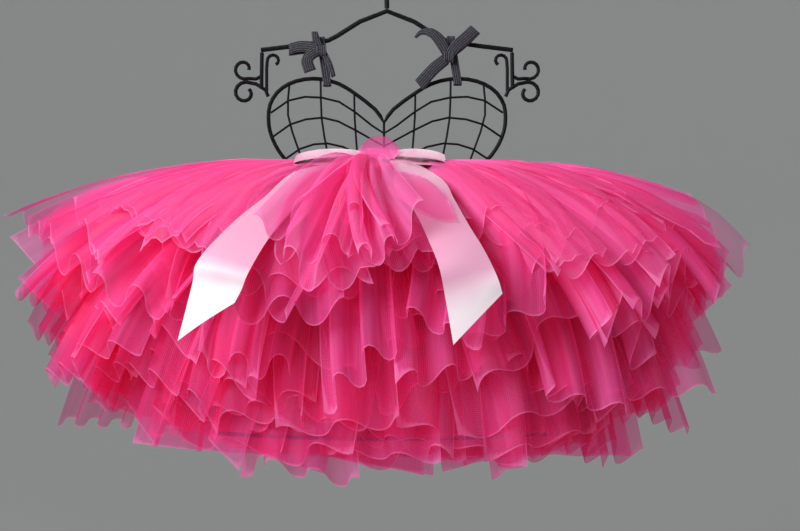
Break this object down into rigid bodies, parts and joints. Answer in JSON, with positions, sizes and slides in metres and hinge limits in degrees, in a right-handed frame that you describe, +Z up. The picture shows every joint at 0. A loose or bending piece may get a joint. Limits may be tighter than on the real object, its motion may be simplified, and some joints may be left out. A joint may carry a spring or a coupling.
{
  "type": "ballet tutu on a wire dress-form hanger",
  "caption": "Full child's tutu of layered pink tulle with a satin bow, hung from its waist on a black scrolled wire dress-form hanger with a hook.",
  "frame": {"origin": "where the inside of the hook's top rests on its peg, in the plane of the wire form", "axes": "+X to the right as seen from the front, -Y towards the front, +Z up"},
  "size_m": [0.7217, 0.2678, 0.5635],
  "materials": {
    "black_iron": "satin black, slightly rough",
    "elastic": "knitted elastic",
    "tulle": "sheer soft tulle net",
    "satin_ribbon": "single-face satin",
    "striped_ribbon": "ribbed ribbon with fine pale stripes"
  },
  "bodies": {
    "root": {"hanger_hook": "black_iron", "shoulder_bar": "black_iron", "shoulder_scroll_left": "black_iron", "shoulder_scroll_right": "black_iron", "bodice_frame": "black_iron", "skirt_frame": "black_iron", "waistband": "elastic", "tulle_tier_1": "tulle", "tulle_tier_2": "tulle", "tulle_tier_3": "tulle", "tulle_tier_4": "tulle", "tulle_tier_5": "tulle", "tulle_tier_6": "tulle", "tulle_loop_upper": "tulle", "tulle_loop_falling": "tulle", "bow_knot": "satin_ribbon", "bow_loop_left": "satin_ribbon", "bow_loop_right": "satin_ribbon", "bow_tail_left": "satin_ribbon", "bow_tail_right": "satin_ribbon", "strap_left": "striped_ribbon", "strap_right": "striped_ribbon", "strap_tie_left": "striped_ribbon", "strap_tie_right": "striped_ribbon"}
  },
  "joints": []
}
